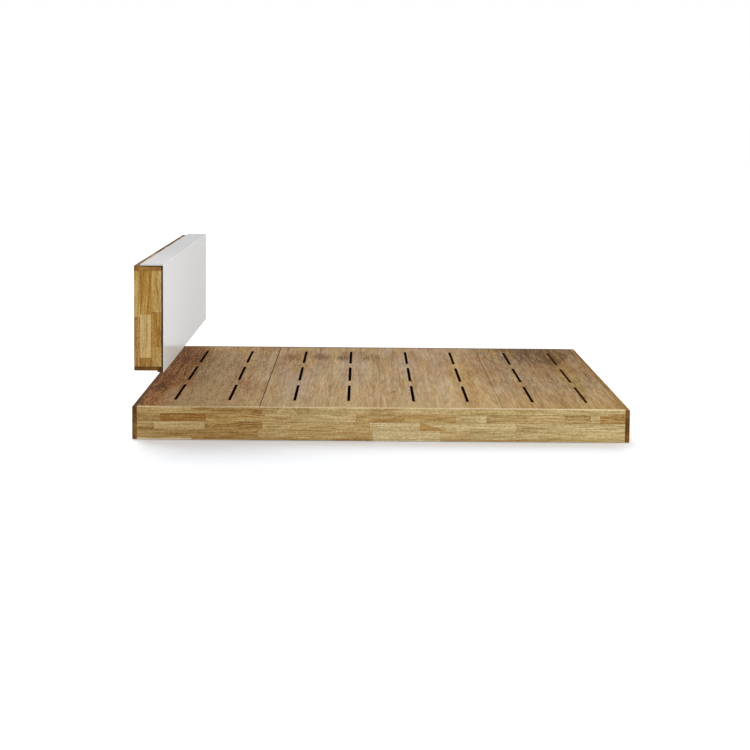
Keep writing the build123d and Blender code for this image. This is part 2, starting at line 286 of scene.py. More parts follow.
def paper_finish():
    """Pale paper that keeps the bed's shadow and, outside the bed's outline, glows to the camera; under the
    bed it is painted dark grey, a painted shade.
    """
    finish = bpy.data.materials.new("floor_paper")
    finish.use_nodes = True
    tree = finish.node_tree
    tree.nodes.clear()
    x, y = split(tree, on_object(tree))[:2]
    past_ends = reckon(tree, "SUBTRACT", reckon(tree, "ABSOLUTE", x), cad_high.x)
    past_sides = reckon(tree, "SUBTRACT", reckon(tree, "ABSOLUTE", y), cad_high.y)
    near_side = reckon(tree, "LESS_THAN", y, 0.0)
    outside = reckon(tree, "GREATER_THAN", reckon(tree, "MAXIMUM", past_ends, past_sides),
                     reckon(tree, "MULTIPLY", near_side, -glow_under_rail))
    off_ends = spread_out(tree, past_ends, -far_off_ends, far_off_ends)
    off_sides = spread_out(tree, past_sides, 0.0, far_off_sides)
    more_glow = reckon(tree, "MAXIMUM", reckon(tree, "MULTIPLY", off_ends, more_glow_ends),
                       reckon(tree, "MULTIPLY", off_sides, more_glow_sides))
    strength = reckon(tree, "MULTIPLY", reckon(tree, "ADD", more_glow, floor_glow), outside)
    # Inside the bed's outline the paper is painted dark grey as shade.
    shade = lay_over(tree, outside, floor_painted_shade, floor_white)
    matt = place(tree, "ShaderNodeBsdfDiffuse", {"Color": shade})
    glow = place(tree, "ShaderNodeEmission", {"Strength": strength})
    glowing = place(tree, "ShaderNodeAddShader", {0: matt.outputs[0], 1: glow.outputs[0]})
    shown = place(tree, "ShaderNodeMixShader",
                  {0: seen_directly(tree), 1: matt.outputs[0], 2: glowing.outputs[0]})
    place(tree, "ShaderNodeOutputMaterial", {"Surface": shown.outputs[0]})
    return finish


bpy.ops.object.select_all(action="DESELECT")
bpy.ops.mesh.primitive_plane_add(size=floor_size)
floor = bpy.context.active_object
floor.name = "floor"
floor.data.materials.append(paper_finish())
print("floor:", floor_size, "m square")

# %% [markdown]
# ## Grain, the effect that every wood here shares
# A stave is a short stick sawn out of a trunk, so its figure is what the trunk's rings leave on a flat cut.
# The group works that out: a seed puts the trunk's heart somewhere beside the stave and leans it a little,
# and the bands are a noise over the distance from that heart, drawn out along the grain. Where the stave
# leans to the trunk, the bands come out as arches. Clouds, flecks, sand, fibres and pores follow at ever
# smaller scales. The group expects the grain along its X, and the seed moves the pattern, so that
# neighbouring staves never match.

# %% Helpers for node groups
number = "NodeSocketFloat"
vector = "NodeSocketVector"
rgb = "NodeSocketColor"


def new_group(name, inputs, outputs):
    """An empty node group with named sockets; it returns the group, its inputs and its outputs."""
    group = bpy.data.node_groups.new(name, "ShaderNodeTree")
    for socket, kind in inputs.items():
        group.interface.new_socket(socket, in_out="INPUT", socket_type=kind)
    for socket, kind in outputs.items():
        group.interface.new_socket(socket, in_out="OUTPUT", socket_type=kind)
    entry = group.nodes.new("NodeGroupInput")
    leaving = group.nodes.new("NodeGroupOutput")
    return group, entry.outputs, leaving.inputs


def drawn_noise(tree, spot, along, across, stretch=None, **settings):
    """Noise with its own count of features to the metre, along the grain and across it."""
    inputs = {"Vector": reckon_vector(tree, "MULTIPLY", spot, (along, across, across)), "Scale": 1.0}
    inputs.update({name.capitalize(): value for name, value in settings.items()})
    noise = place(tree, "ShaderNodeTexNoise", inputs).outputs[0]
    return spread_out(tree, noise, *stretch) if stretch else noise


print("helpers for node groups are ready")

# %% Node group: grain, from clouds to pores and knots
seed_steps = (31.0, 17.0, 23.0)
knots_to_the_metre = (5.0, 16.0, 16.0)
knot_range = (0.22, 0.06)
fine_effects = {
    "Clouds": {"along": 2.6, "across": 22.0, "detail": 3.0, "roughness": 0.55},
    "Flecks": {"along": 9.0, "across": 190.0, "detail": 2.0, "roughness": 0.55, "stretch": (0.34, 0.66)},
    "Sand": {"along": 100.0, "across": 190.0, "detail": 2.0, "roughness": 0.7, "stretch": (0.3, 0.7)},
    "Fibres": {"along": 10.0, "across": 620.0, "detail": 2.0, "roughness": 0.6},
    "Pores": {"along": 110.0, "across": 1500.0, "detail": 1.0, "roughness": 0.5, "stretch": (0.60, 0.72)}}

grain, given, made = new_group("grain", {"Vector": vector, "Seed": number},
                               {name: number for name in ("Bands", *fine_effects, "Knots")})
seeds = join(grain, given["Seed"], given["Seed"], given["Seed"])
moved = reckon_vector(grain, "MULTIPLY_ADD", seeds, seed_steps, given["Vector"])
for effect, noise in fine_effects.items():
    fill(grain, made[effect], drawn_noise(grain, moved, **noise))
knot_space = reckon_vector(grain, "MULTIPLY", moved, knots_to_the_metre)
from_knot = place(grain, "ShaderNodeTexVoronoi", {"Vector": knot_space, "Scale": 1.0}).outputs["Distance"]
fill(grain, made["Knots"], spread_out(grain, from_knot, *knot_range))
print("node group grain:", len(grain.nodes), "nodes before its bands")

# %% Node group: grain, the bands
heart_nearest = 30 * mm
heart_spread = 110 * mm
heart_lean = 0.07
wander = {"along": 1.6, "across": 16.0, "detail": 2.0}
wander_reach = 16 * mm
knot_pull = 12 * mm
knot_pull_range = (0.5, 0.0)
bands_along = 1.1
bands_across = 150.0
trunks_apart = 40.0
band_noise = {"Scale": 1.0, "Detail": 4.0, "Roughness": 0.62}
band_range = (0.32, 0.68)

lots = place(grain, "ShaderNodeTexWhiteNoise", {"W": given["Seed"]}, noise_dimensions="1D").outputs["Color"]
turn_lot, reach_lot, lean_lot = split(grain, lots)
heart_turn = reckon(grain, "MULTIPLY", turn_lot, 2.0 * math.pi)
heart_reach = add_share(grain, heart_nearest, reach_lot, heart_spread)
heart_side = reckon(grain, "MULTIPLY", heart_reach, reckon(grain, "COSINE", heart_turn))
heart_depth = reckon(grain, "MULTIPLY", heart_reach, reckon(grain, "SINE", heart_turn))
run, side, depth = split(grain, given["Vector"])
leaned = add_share(grain, side, run, swing(grain, lean_lot, heart_lean))
radius = length(grain, join(grain, 0.0, reckon(grain, "SUBTRACT", leaned, heart_side),
                            reckon(grain, "SUBTRACT", depth, heart_depth)))
radius = reckon(grain, "ADD", radius, swing(grain, drawn_noise(grain, moved, **wander), wander_reach))
radius = add_share(grain, radius, spread_out(grain, from_knot, *knot_pull_range), knot_pull)
trunk = join(grain, reckon(grain, "MULTIPLY", run, bands_along),
             reckon(grain, "MULTIPLY", radius, bands_across),
             reckon(grain, "MULTIPLY", given["Seed"], trunks_apart))
bands = place(grain, "ShaderNodeTexNoise", {"Vector": trunk, **band_noise})
fill(grain, made["Bands"], spread_out(grain, bands.outputs[0], *band_range))
print("node group grain:", len(grain.nodes), "nodes")

# %% [markdown]
# ## Oak, as colour, gloss and relief
# The staves of this bed run from straw to brown, and some are warmer than others. A tone from 0 to 1 picks
# a place on two ramps, a plain one and a warm one, and a warmth mixes them. A tone below 0 lays on a pale
# cream, a painted highlight, used on the near rail's top. The grain then moves the tone up and down, darkens
# in the pores, and gives the oiled surface its uneven gloss and shallow relief. Edges are a little paler,
# wear and a painted highlight together, and the glue line between two staves is a shade darker. A picture of
# oak could do for one stave, but it would repeat from one to the next, so the wood is worked out instead.

# %% Colours of the oak
plain_oak = [(0.0, colour(226, 204, 160)), (0.2, colour(197, 176, 129)), (0.4, colour(177, 154, 106)),
             (0.6, colour(152, 121, 74)), (0.8, colour(119, 89, 52)), (1.0, colour(88, 61, 35))]
warm_oak = [(0.0, colour(208, 173, 106)), (0.2, colour(192, 151, 78)), (0.4, colour(172, 127, 57)),
            (0.6, colour(148, 100, 43)), (0.8, colour(118, 75, 33)), (1.0, colour(86, 52, 25))]
highlight_cream = colour(255, 240, 206)
pore_brown = colour(84, 58, 32)
knot_brown = colour(66, 43, 25)


def ramp(tree, value, stops):
    """A colour picked from a run of colours by a value from 0 to 1."""
    node = place(tree, "ShaderNodeValToRGB", {"Fac": value})
    elements = node.color_ramp.elements
    while len(elements) < len(stops):
        elements.new(1.0)
    for element, (position, shade) in zip(elements, stops):
        element.position = position
        element.color = shade
    return node.outputs["Color"]


def grain_of(tree, spot, seed):
    """The grain group's outputs, at a place with the grain along x."""
    return place(tree, "ShaderNodeGroup", {"Vector": spot, "Seed": seed}, node_tree=grain).outputs


print("oak:", len(plain_oak), "plain and", len(warm_oak), "warm colours")

# %% Node group: oak
band_reach = 0.15
oak_reaches = {"Clouds": 0.12, "Flecks": 0.11, "Sand": 0.13, "Fibres": 0.14}
# Paler eased edges: wear and a painted highlight together.
edge_paler_wear_and_highlight = -0.15
joint_darker = 0.3
highlight_cream_range = (-0.12, -0.32)
oak_blush = {"along": 5.0, "across": 40.0, "detail": 2.0}
blush_reach = 0.2
pores_least = 0.2
more_pores_in_bands = 0.3
knots_over = 0.75
oak_roughness = 0.42
clouds_rougher = 0.14
pores_rougher = 0.2
pores_sunk = -0.8
bands_sunk = -0.2

oak, given, made = new_group(
    "oak", {"Vector": vector, "Seed": number, "Tone": number, "Warmth": number, "Figure": number,
            "Knottiness": number, "Edge": number, "Joint": number},
    {"Color": rgb, "Roughness": number, "Height": number})
wood = grain_of(oak, given["Vector"], given["Seed"])
tone = add_share(oak, given["Tone"], swing(oak, wood["Bands"], band_reach), given["Figure"])
tone = stirred(oak, tone, wood, oak_reaches)
tone = add_share(oak, tone, given["Edge"], edge_paler_wear_and_highlight)
tone = add_share(oak, tone, given["Joint"], joint_darker)
blush = drawn_noise(oak, given["Vector"], **oak_blush)
warmth = reckon(oak, "ADD", given["Warmth"], swing(oak, blush, blush_reach))
warmth = reckon(oak, "MINIMUM", reckon(oak, "MAXIMUM", warmth, 0.0), 1.0)
shade = lay_over(oak, warmth, ramp(oak, tone, plain_oak), ramp(oak, tone, warm_oak))
# A cream laid on tones below 0: a painted highlight.
shade = lay_over(oak, spread_out(oak, tone, *highlight_cream_range), shade, highlight_cream)
pore_depth = add_share(oak, pores_least, wood["Bands"], more_pores_in_bands)
shade = lay_over(oak, reckon(oak, "MULTIPLY", wood["Pores"], pore_depth), shade, pore_brown)
knots = reckon(oak, "MULTIPLY", wood["Knots"], given["Knottiness"])
fill(oak, made["Color"], lay_over(oak, reckon(oak, "MULTIPLY", knots, knots_over), shade, knot_brown))
roughness = add_share(oak, oak_roughness, wood["Clouds"], clouds_rougher)
fill(oak, made["Roughness"], add_share(oak, roughness, wood["Pores"], pores_rougher))
relief = add_share(oak, wood["Fibres"], wood["Pores"], pores_sunk)
fill(oak, made["Height"], add_share(oak, relief, wood["Bands"], bands_sunk))
print("node group oak:", len(oak.nodes), "nodes")

# %% [markdown]
# ## Finishes for boards of glued staves
# A board's grain follows its length, so the finish has one version for each direction. Each stave's middle,
# half size, tone, warmth and seed are written on its faces as attributes when the board is modelled. The
# finish reads them, counts its place from the stave's own middle, and finds the glue line where the stave's
# half size ends. The ends are a second finish: sawn across, the rings show as arcs and the wood drinks the
# oil and darkens. An oiled board hardly mirrors anything, so its specular level is close to none.

# %% Helpers for finishes
axes = {"x": 0, "y": 1, "z": 2}
across_grain = {"x": (1, 2), "y": (0, 2), "z": (0, 1)}


def new_finish(name):
    """A material with nothing but a surface shader; it returns the material, its tree and the shader."""
    finish = bpy.data.materials.new(name)
    finish.use_nodes = True
    tree = finish.node_tree
    tree.nodes.clear()
    shader = place(tree, "ShaderNodeBsdfPrincipled")
    place(tree, "ShaderNodeOutputMaterial", {"Surface": shader.outputs[0]})
    return finish, tree, shader


def dress(tree, shader, shade, roughness, specular=0.5):
    """Gives a shader its colour and roughness, and sets how much it mirrors."""
    fill(tree, shader.inputs["Base Color"], shade)
    fill(tree, shader.inputs["Roughness"], roughness)
    shader.inputs["Specular IOR Level"].default_value = specular


def relief_on(tree, shader, height, depth, strength):
    """Relief from a height, in metres of depth."""
    bump = place(tree, "ShaderNodeBump", {"Height": height, "Distance": depth, "Strength": strength})
    fill(tree, shader.inputs["Normal"], bump.outputs[0])


def turned(tree, spot, axis):
    """A vector turned so that the grain's axis comes first."""
    parts = split(tree, spot)
    return join(tree, parts[axes[axis]], *(parts[other] for other in across_grain[axis]))


def written(tree, name, output="Fac"):
    """A number or a vector that a piece's faces carry."""
    return place(tree, "ShaderNodeAttribute", attribute_name=name).outputs[output]


def from_stave_middle(tree):
    """The place on the object, counted from the middle of the stave."""
    return reckon_vector(tree, "SUBTRACT", on_object(tree), written(tree, "stave_middle", "Vector"))


print("helpers for finishes are ready")

# %% Finish: oak along x, y and z
glue_line = 1.2 * mm
oak_specular = 0.01
oak_relief = (0.5 * mm, 0.3)


def staved_finish(axis):
    """Oiled oak for boards whose staves carry their own looks."""
    finish, tree, shader = new_finish(f"oak_staves_along_{axis}")
    spot = from_stave_middle(tree)
    look = place(tree, "ShaderNodeGroup", node_tree=oak)
    fill(tree, look.inputs["Vector"], turned(tree, spot, axis))
    for socket in ("Seed", "Tone", "Warmth", "Figure", "Knottiness"):
        fill(tree, look.inputs[socket], written(tree, "stave_" + socket.lower()))
    fill(tree, look.inputs["Edge"], written(tree, "edge_wear_and_highlight"))
    margin = reckon_vector(tree, "SUBTRACT", written(tree, "stave_half", "Vector"),
                           reckon_vector(tree, "ABSOLUTE", spot))
    left, back, under = split(tree, margin)
    nearest = reckon(tree, "MINIMUM", left, reckon(tree, "MINIMUM", back, under))
    fill(tree, look.inputs["Joint"], spread_out(tree, nearest, glue_line, 0.0))
    dress(tree, shader, look.outputs["Color"], look.outputs["Roughness"], oak_specular)
    relief_on(tree, shader, look.outputs["Height"], *oak_relief)
    return finish


oak_along = {axis: staved_finish(axis) for axis in axes}
print("finishes:", [finish.name for finish in oak_along.values()])

# %% Finish: oak end grain
end_oak = [(0.0, colour(180, 138, 76)), (0.35, colour(150, 109, 55)), (0.65, colour(113, 76, 37)),
           (1.0, colour(72, 44, 21))]
ring_width = 3.2 * mm
heart_below = 40 * mm
ring_range = (0.1, 0.5)
ring_wobble = {"along": 40.0, "across": 90.0, "detail": 2.0}
wobble_reach = 0.8
end_pores = {"along": 900.0, "across": 900.0, "detail": 1.0, "stretch": (0.56, 0.68)}
end_patches = {"along": 60.0, "across": 60.0, "detail": 2.0}
end_reaches = {"rings": 0.14, "patches": 0.3}
end_pores_darker = 0.2
end_roughness = 0.55
end_pores_rougher = 0.15
end_specular = 0.03
end_relief = (0.5 * mm, 0.4)


def end_grain_finish(axis):
    """Oak sawn across: arcs of rings about a heart that lies outside the stave, with open pores."""
    finish, tree, shader = new_finish(f"oak_end_grain_{axis}")
    spot = turned(tree, from_stave_middle(tree), axis)
    heart = join(tree, 0.0, swing(tree, written(tree, "stave_seed"), heart_below), -heart_below)
    flat = reckon_vector(tree, "MULTIPLY", spot, (0.0, 1.0, 1.0))
    reach = length(tree, reckon_vector(tree, "SUBTRACT", flat, heart))
    wobble = swing(tree, drawn_noise(tree, spot, **ring_wobble), wobble_reach)
    turns = reckon(tree, "ADD", reckon(tree, "DIVIDE", reach, ring_width), wobble)
    rings = spread_out(tree, reckon(tree, "PINGPONG", turns, 0.5), *ring_range)
    effects = {"rings": rings, "patches": drawn_noise(tree, spot, **end_patches)}
    pores = drawn_noise(tree, spot, **end_pores)
    tone = stirred(tree, written(tree, "stave_tone"), effects, end_reaches)
    shade = ramp(tree, add_share(tree, tone, pores, end_pores_darker), end_oak)
    dress(tree, shader, shade, add_share(tree, end_roughness, pores, end_pores_rougher), end_specular)
    relief_on(tree, shader, reckon(tree, "MULTIPLY", pores, -1.0), *end_relief)
    return finish


oak_end = {axis: end_grain_finish(axis) for axis in axes}
print("finishes:", [finish.name for finish in oak_end.values()])

# %% [markdown]
# ## A board of glued staves
# Boards like these are glued up from short staves in rows, with butt joints here and there, then planed and
# eased. The model goes the same way: a block at the board's size, its edges rounded, then sawn along the
# rows and, inside each row, at the joints, some of them on a slant. A saw cut only divides faces, so the
# surface stays as flush as the real one, and every stave has faces of its own to carry its tone. A texture
# alone could fake the staves, but then a joint would run on over the edge in the wrong place, and here it
# goes right through.

# %% Helpers for modelling
unit = (Vector((1.0, 0.0, 0.0)), Vector((0.0, 1.0, 0.0)), Vector((0.0, 0.0, 1.0)))
smooth_under = math.radians(40)


def pick(piece, kind, wanted):
    """Selects the faces or edges of the piece in edit mode that are wanted."""
    bpy.ops.mesh.select_all(action="DESELECT")
    bpy.ops.mesh.select_mode(type=kind)
    mesh = bmesh.from_edit_mesh(piece.data)
    for part in mesh.faces if kind == "FACE" else mesh.edges:
        part.select_set(wanted(part))
    bmesh.update_edit_mesh(piece.data)


def block(name, low, high):
    """A cube stretched between two corners, with its place in its mesh."""
    bpy.ops.object.select_all(action="DESELECT")
    middle = (Vector(low) + Vector(high)) / 2
    bpy.ops.mesh.primitive_cube_add(size=1.0, location=middle, scale=Vector(high) - Vector(low))
    bpy.ops.object.transform_apply(location=True, rotation=True, scale=True)
    piece = bpy.context.active_object
    piece.name = name
    piece.data.name = name
    return piece


def saw(piece, point, square, wanted=lambda middle: True):
    """Divides the wanted faces of a piece in edit mode by a flat cut through a point, square to a line."""
    pick(piece, "FACE", lambda face: wanted(face.calc_center_median()))
    bpy.ops.mesh.bisect(plane_co=point, plane_no=square)


def settle_normals(piece):
    """Smooth rounds beside flat faces: shaded smooth by angle, with normals weighted by face area."""
    bpy.ops.object.shade_smooth_by_angle(angle=smooth_under)
    piece.modifiers.new("even_normals", "WEIGHTED_NORMAL").keep_sharp = True
    bpy.ops.object.modifier_apply(modifier="even_normals")


def write_on_faces(piece, name, values):
    """Gives each face of a piece a number, or a vector, that its finish can read."""
    if isinstance(values[0], Vector):
        numbers = [part for value in values for part in value]
        piece.data.attributes.new(name, "FLOAT_VECTOR", "FACE").data.foreach_set("vector", numbers)
    else:
        piece.data.attributes.new(name, "FLOAT", "FACE").data.foreach_set("value", values)


print("helpers for modelling are ready")

# %% Measure, saw and find the staves of a board
no_glue = 1.0


def measure_staves(rows, low, high, along, over):
    """Notes each stave's middle and half size, which is far too big where no square glue line is."""
    for row_low, row_high, staves in rows:
        start = low[along]
        for before, stave in zip([None, *staves], staves):
            first = start - (no_glue if before is None or before["slant"] else 0.0)
            last = stave["end"] + (no_glue if stave is staves[-1] or stave["slant"] else 0.0)
            middle = (low + high) / 2
            middle[along] = (first + last) / 2
            middle[over] = (row_low + row_high) / 2
            half = Vector((no_glue, no_glue, no_glue))
            half[along] = (last - first) / 2
            half[over] = (row_high - row_low) / 2
            stave.update(middle=middle, half=half)
            start = stave["end"]


def saw_staves(piece, rows, along, over):
    """Saws a board in edit mode between its rows and, inside each row, at the joints."""
    for row_low, row_high, staves in rows[:-1]:
        saw(piece, unit[over] * row_high, unit[over])
    for row_low, row_high, staves in rows:
        for stave in staves[:-1]:
            joint = unit[along] * stave["end"] + unit[over] * stave["middle"][over]
            square = (unit[along] - unit[over] * stave["slant"]).normalized()
            saw(piece, joint, square, lambda middle: row_low < middle[over] < row_high)


def stave_at(spot, rows, along, over):
    """The stave that a spot on the board belongs to."""
    staves = next((staves for low, high, staves in rows if spot[over] < high), rows[-1][2])
    for stave in staves[:-1]:
        if spot[along] < stave["end"] + stave["slant"] * (spot[over] - stave["middle"][over]):
            return stave
    return staves[-1]


print("helpers for staves are ready")

# %% Model one board of staves
ease_segments = 3
facing = 0.5
facing_up = 0.7
eased_face_level = 0.97
end_spread = 0.35


def write_staves(piece, owners, sawn_ends, end_tone, top_tone_and_light_shift):
    """Writes on each face the looks of the stave that it belongs to."""
    faces = piece.data.polygons
    for name in ("seed", "warmth", "figure", "knottiness", "middle", "half"):
        write_on_faces(piece, "stave_" + name, [stave[name] for stave in owners])
    # Up-facing faces take the top shift, tone with painted light and shade.
    tones = [stave["tone"] + top_tone_and_light_shift * (face.normal.z > facing_up) for face, stave in zip(faces, owners)]
    for index, stave in enumerate(owners):
        if sawn_ends[index]:
            tones[index] = end_tone + end_spread * (stave["seed"] - 0.5)
    write_on_faces(piece, "stave_tone", tones)
    # Eased edge faces are paler: wear and a painted highlight together.
    wear_and_highlight_faces = [float(max(map(abs, face.normal)) < eased_face_level) for face in faces]
    write_on_faces(piece, "edge_wear_and_highlight", wear_and_highlight_faces)


def staved_board(node, grain_axis, rows_axis, rows, ease, end_tone=0.6, top_tone_and_light_shift=0.0):
    """A board that stands for a node. Each row is (low, high, staves), each stave a dict with its end."""
    low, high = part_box(node)
    along = axes[grain_axis]
    over = axes[rows_axis]
    measure_staves(rows, low, high, along, over)
    piece = block(node + "_staves", low, high)
    bpy.ops.object.mode_set(mode="EDIT")
    bpy.ops.mesh.select_all(action="SELECT")
    bpy.ops.mesh.bevel(offset=ease, segments=ease_segments, affect="EDGES")
    saw_staves(piece, rows, along, over)
    bpy.ops.object.mode_set(mode="OBJECT")
    faces = piece.data.polygons
    owners = [stave_at(face.center, rows, along, over) for face in faces]
    sawn_ends = [abs(face.normal[along]) > facing for face in faces]
    write_staves(piece, owners, sawn_ends, end_tone, top_tone_and_light_shift)
    piece.data.materials.append(oak_along[grain_axis])
    piece.data.materials.append(oak_end[grain_axis])
    faces.foreach_set("material_index", [int(sawn) for sawn in sawn_ends])
    settle_normals(piece)
    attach(piece, "bed")
    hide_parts(node)
    print("board:", piece.name, "of", sum(len(row[2]) for row in rows), "staves,", len(faces), "faces")


print("boards of staves can be modelled")

# %% [markdown]
# ## The near rail, stave by stave
# This rail fills the photograph, so its staves are laid to match: five rows from the top down, each a
# height and a list of staves from the head to the foot. A stave is the place where it ends, in millimetres
# from the head, its tone and its warmth, and where it needs them its figure, its knots and the slant of its
# end. The rail's top is shifted paler, a painted highlight.

# %% Lay the near rail's staves
bed_head = cad_low.x
rail_ease = 1.5 * mm
# The near rail's top is shifted paler into the cream, a painted highlight.
near_top_highlight = -0.75
dice = random.Random(11)


def stave(end, tone, warmth, figure=0.7, knottiness=0.0, slant=0.0):
    """One stave: where it ends, how dark and warm it is, and how much figure, knots and slant it has."""
    return {"end": end, "tone": tone, "warmth": warmth, "figure": figure, "knottiness": knottiness,
            "slant": slant, "seed": dice.random()}


near_rail_rows = [
    (28, [(283, 0.32, 0.4, 0.7, 0.0, -3.1), (561, 0.52, 0.4, 1.0, 0.4), (717, 0.38, 0.25, 0.9, 0.5),
          (765, 0.42, 0.2), (1268, 0.42, 0.15), (1467, 0.37, 0.1), (2160, 0.44, 0.05, 0.8, 0.3)]),
    (35, [(123, 0.44, 0.35), (318, 0.56, 0.68), (574, 0.42, 0.45, 1.0), (687, 0.32, 0.25),
          (969, 0.24, 0.15, 1.0, 0.3), (1402, 0.41, 0.36), (1537, 0.32, 0.0), (1710, 0.42, 0.1, 0.8, 0.4),
          (1879, 0.38, 0.15), (1988, 0.49, 0.05), (2031, 0.40, 0.05), (2160, 0.56, 0.4)]),
    (35, [(93, 0.49, 0.35, 1.4, 0.8), (314, 0.27, 0.3), (563, 0.52, 0.5, 1.0), (1029, 0.31, 0.3),
          (1248, 0.17, 0.0, 0.3, 0.2), (1310, 0.41, 0.5, 0.7, 0.0, -3.4), (1424, 0.27, 0.1),
          (1667, 0.25, 0.05), (2160, 0.34, 0.0)]),
    (37, [(149, 0.40, 0.35), (544, 0.46, 0.5, 1.0), (1042, 0.33, 0.32), (1337, 0.22, 0.0, 0.3),
          (1467, 0.29, 0.25), (1667, 0.31, 0.05), (2160, 0.33, 0.1)]),
    (9, [(258, 0.15, 0.05), (1042, 0.43, 0.45), (1337, 0.22, 0.0), (2160, 0.36, 0.3)])]

rows = []
row_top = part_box("side_rail_near")[1].z
for height, staves in near_rail_rows:
    row = [stave(bed_head + end * mm, *looks) for end, *looks in staves]
    rows.insert(0, (row_top - height * mm, row_top, row))
    row_top -= height * mm
staved_board("side_rail_near", "x", "z", rows, rail_ease, top_tone_and_light_shift=near_top_highlight)

# %% [markdown]
# ## The other rails
# The rails that the photograph hides are the same boards, so their staves come from seeded dice, with
# lengths and tones in the range of the near rail's. Each rail has the direction of its grain, a warmth, the
# tone of its ends and a shift for its top, which mixes the top's tone with painted light and shade: the far
# and the head rail are browner there, and the foot rail is paler.

# %% Throw the dice for a board
first_lengths = (0.10, 0.40)
next_lengths = (0.24, 0.50)
shortest_last = 0.12
usual_tone = 0.38
tone_spread = 0.13
palest_tone = 0.14
darkest_tone = 0.66
knotty_from = 0.5
knotty_chance = 0.4
knotty = 0.7
warmth_spread = 0.12
figures = (0.5, 1.0)


def random_stave(end, warmth):
    """A stave with looks from the dice."""
    tone = min(darkest_tone, max(palest_tone, dice.gauss(usual_tone, tone_spread)))
    knottiness = knotty if tone > knotty_from and dice.random() < knotty_chance else 0.0
    return stave(end, tone, max(0.0, dice.gauss(warmth, warmth_spread)), dice.uniform(*figures), knottiness)


def glued_rows(node, grain_axis, rows_axis, row_width, warmth):
    """Rows of staves over a whole node, with lengths and looks from the dice."""
    low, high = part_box(node)
    along = axes[grain_axis]
    over = axes[rows_axis]
    count = max(1, round((high[over] - low[over]) / row_width))
    width = (high[over] - low[over]) / count
    rows = []
    for index in range(count):
        ends = []
        end = low[along] + dice.uniform(*first_lengths)
        while end < high[along] - shortest_last:
            ends.append(end)
            end += dice.uniform(*next_lengths)
        ends.append(high[along])
        row_low = low[over] + width * index
        rows.append((row_low, row_low + width, [random_stave(end, warmth) for end in ends]))
    return rows


print("helpers for boards laid by the dice are ready")

# %% Lay the other rails
rail_row_width = 35 * mm
other_rails = {"side_rail_far": ("x", 0.3, 0.6, 0.4),
               "head_rail": ("y", 1.0, 0.73, 0.10),
               "foot_rail": ("y", 0.6, 0.66, -0.36)}
for node, (grain_axis, warmth, end_tone, top_tone_and_light_shift) in other_rails.items():
    rows = glued_rows(node, grain_axis, "z", rail_row_width, warmth)
    staved_board(node, grain_axis, "z", rows, rail_ease, end_tone, top_tone_and_light_shift)

# %% [markdown]
# ## The headboard's case
# Its near end shows in the photograph too: three upright columns of staves, from the back to the front,
# warmer than the rails. The boards above and below it, the far end and the two edge strips are laid by the
# dice, and each of them but the far end has a warmth, a tone of its ends and a shift for its top, tone and
# painted shade together; the hinge strip's dark top is painted shade. The grain stands upright in the two
# ends and runs across the bed in the rest, so that the corners show end grain.

# %% Lay the headboard's near end
case_ease = 1.0 * mm
near_end_columns = [
    (26, [(536, 0.44, 0.75), (738, 0.26, 0.7)]),
    (49, [(360, 0.52, 0.8), (549, 0.14, 0.65), (738, 0.42, 0.9, 1.4)]),
    (43, [(410, 0.32, 0.75), (558, 0.44, 0.85), (738, 0.24, 0.75)])]

columns = []
column_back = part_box("headboard_end_panel_near")[0].x
for width, staves in near_end_columns:
    column = [stave(end * mm, *looks) for end, *looks in staves]
    columns.append((column_back, column_back + width * mm, column))
    column_back += width * mm
staved_board("headboard_end_panel_near", "z", "x", columns, case_ease)

# %% Lay the headboard's other boards
case_row_width = 42 * mm
case_warmth = 0.6
other_boards = {"headboard_top_board": (case_warmth, 0.34, 0.4),
                "headboard_bottom_board": (case_warmth, 0.68, 0.4),
                "hinge_strip": (0.0, 0.5, 0.42),
                "closing_strip": (case_warmth, 0.9, 0.4)}

columns = glued_rows("headboard_end_panel_far", "z", "x", case_row_width, case_warmth)
staved_board("headboard_end_panel_far", "z", "x", columns, case_ease)
for node, (warmth, end_tone, top_tone_and_light_shift) in other_boards.items():
    rows = glued_rows(node, "y", "x", case_row_width, warmth)
    staved_board(node, "y", "x", rows, case_ease, end_tone, top_tone_and_light_shift)

# %% [markdown]
# ## White lacquer and the lid
# The white skin over the top and the front of the headboard is one folded lid: thin board, mitred, sprayed
# and rubbed, with a dark matt lining inside, whose darkness is also painted shade for the gap to the case.
# Two boards would leave a seam along the fold, so it is modelled as one, from the front panel up. The block
# is sawn level with the underside of the top, the strip above the cut is drawn back to the hinges, and the
# long outer corner is rounded far more than the other edges. The lacquer is not quite even: it has a trace
# of orange peel, faint wiping marks in its gloss, and clouds where it is a shade warmer and duller, most
# toward the lower edge. It is painted greyer to the far end as shade. Its top is duller with dust and a
# shade greyer with painted shade, brighter at the near end with painted light, and the fold carries a
# painted highlight.

# %% Finish: white lacquer
front_low, front_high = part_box("lid_front_panel")
top_low, top_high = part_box("lid_top_panel")
lacquer_white = colour(213, 212, 211)
# The far, top, near-end and fold colours below are painted shade, painted light and a painted highlight.
lacquer_far_shade = colour(200, 199, 198)
lacquer_lower_tint = colour(208, 207, 203)
lacquer_top_dust_and_shade = colour(208, 208, 208)
lacquer_near_light = colour(229, 226, 227)
lacquer_fold_highlight = colour(246, 246, 246)
lacquer_clouds = {"along": 3.0, "across": 3.0, "detail": 3.0}
lacquer_wiping = {"along": 2.0, "across": 60.0, "detail": 3.0}
lacquer_peel = {"along": 260.0, "across": 260.0, "detail": 1.0}
lower_tint_height = 100 * mm
lower_tint_least = 0.25
top_dust_and_shade_range = (0.5, 0.95)
fold_highlight_range = (0.2, 0.5)
near_light_from = 0.1
lacquer_roughness = 0.1
wiping_rougher = 0.05
dust_rougher = 0.15
lower_tint_rougher = 0.10
lacquer_specular = 0.03
lacquer_relief = (0.2 * mm, 0.06)


